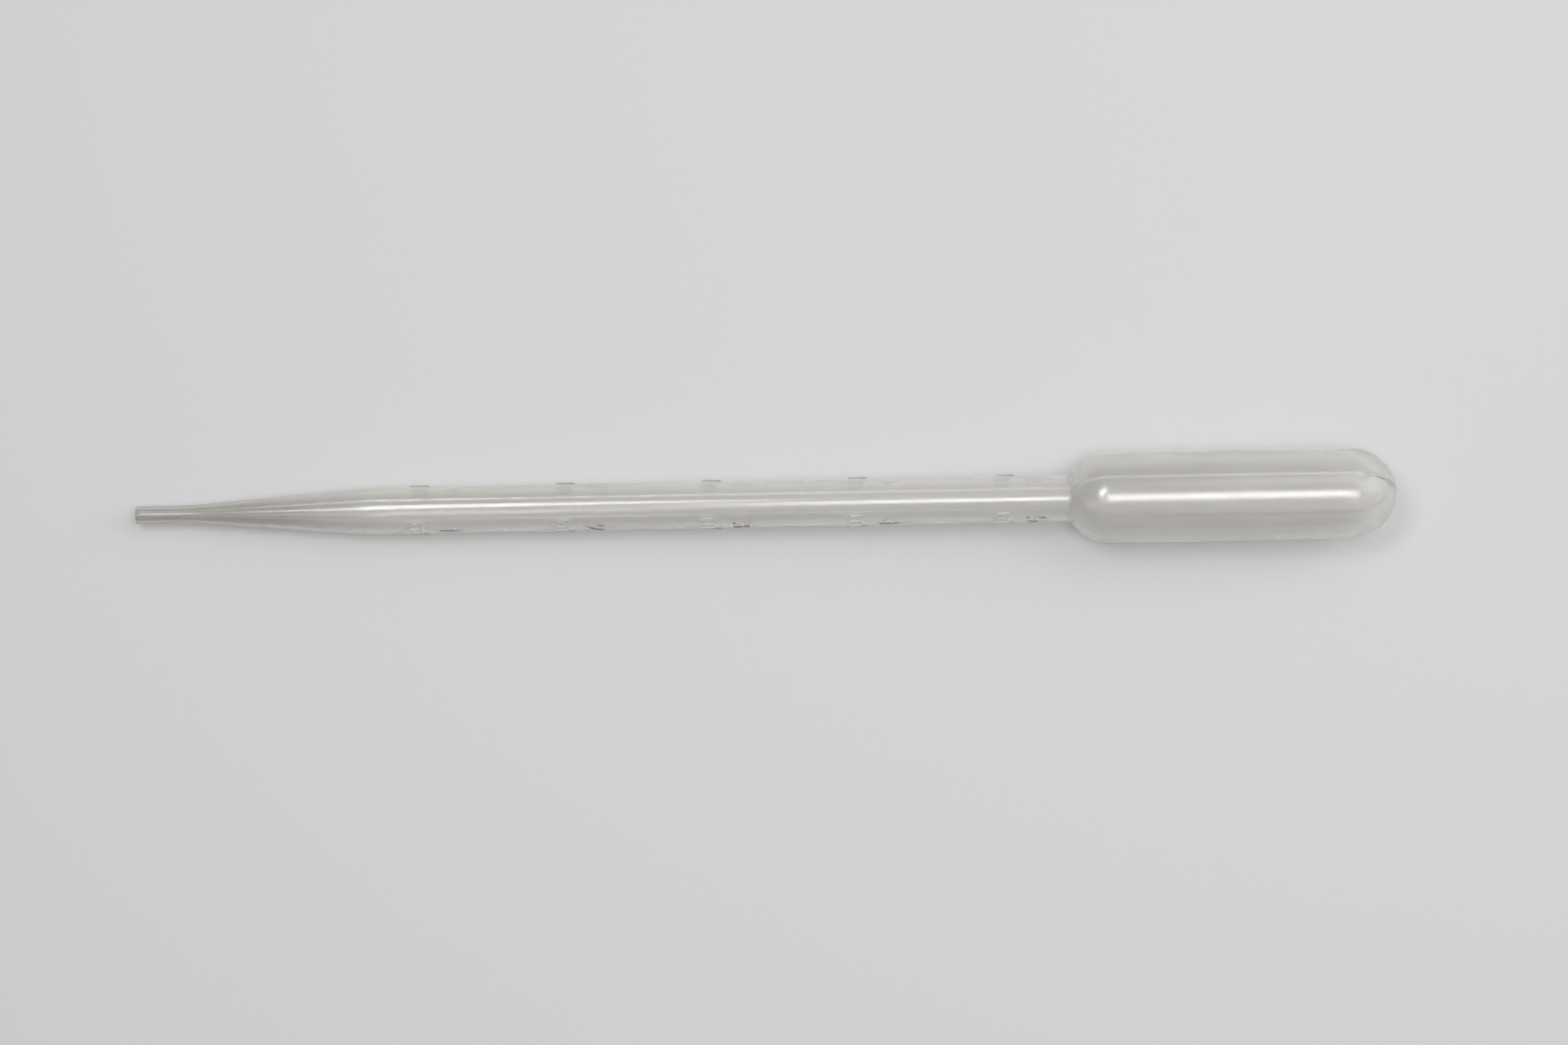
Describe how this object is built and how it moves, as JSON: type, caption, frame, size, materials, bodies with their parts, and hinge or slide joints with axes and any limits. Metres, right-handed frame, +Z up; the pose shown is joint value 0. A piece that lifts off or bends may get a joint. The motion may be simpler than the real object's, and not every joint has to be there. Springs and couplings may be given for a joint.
{
  "type": "dropper pipette",
  "caption": "Graduated plastic dropper pipette in one blown piece: a fine open spout, a taper, a tubular stem with raised volume marks and a squeeze bulb.",
  "frame": {"origin": "on the table, under the middle of the part's length and width as it lies", "axes": "+X along the part as seen from above, from the spout to the bulb; +Z up; +Y completes the right-handed frame"},
  "size_m": [0.2154, 0.0156, 0.0165],
  "materials": {
    "polyethylene": "milky translucent, softly glossy, as moulded"
  },
  "bodies": {
    "root": {"pipette": "polyethylene"}
  },
  "joints": []
}
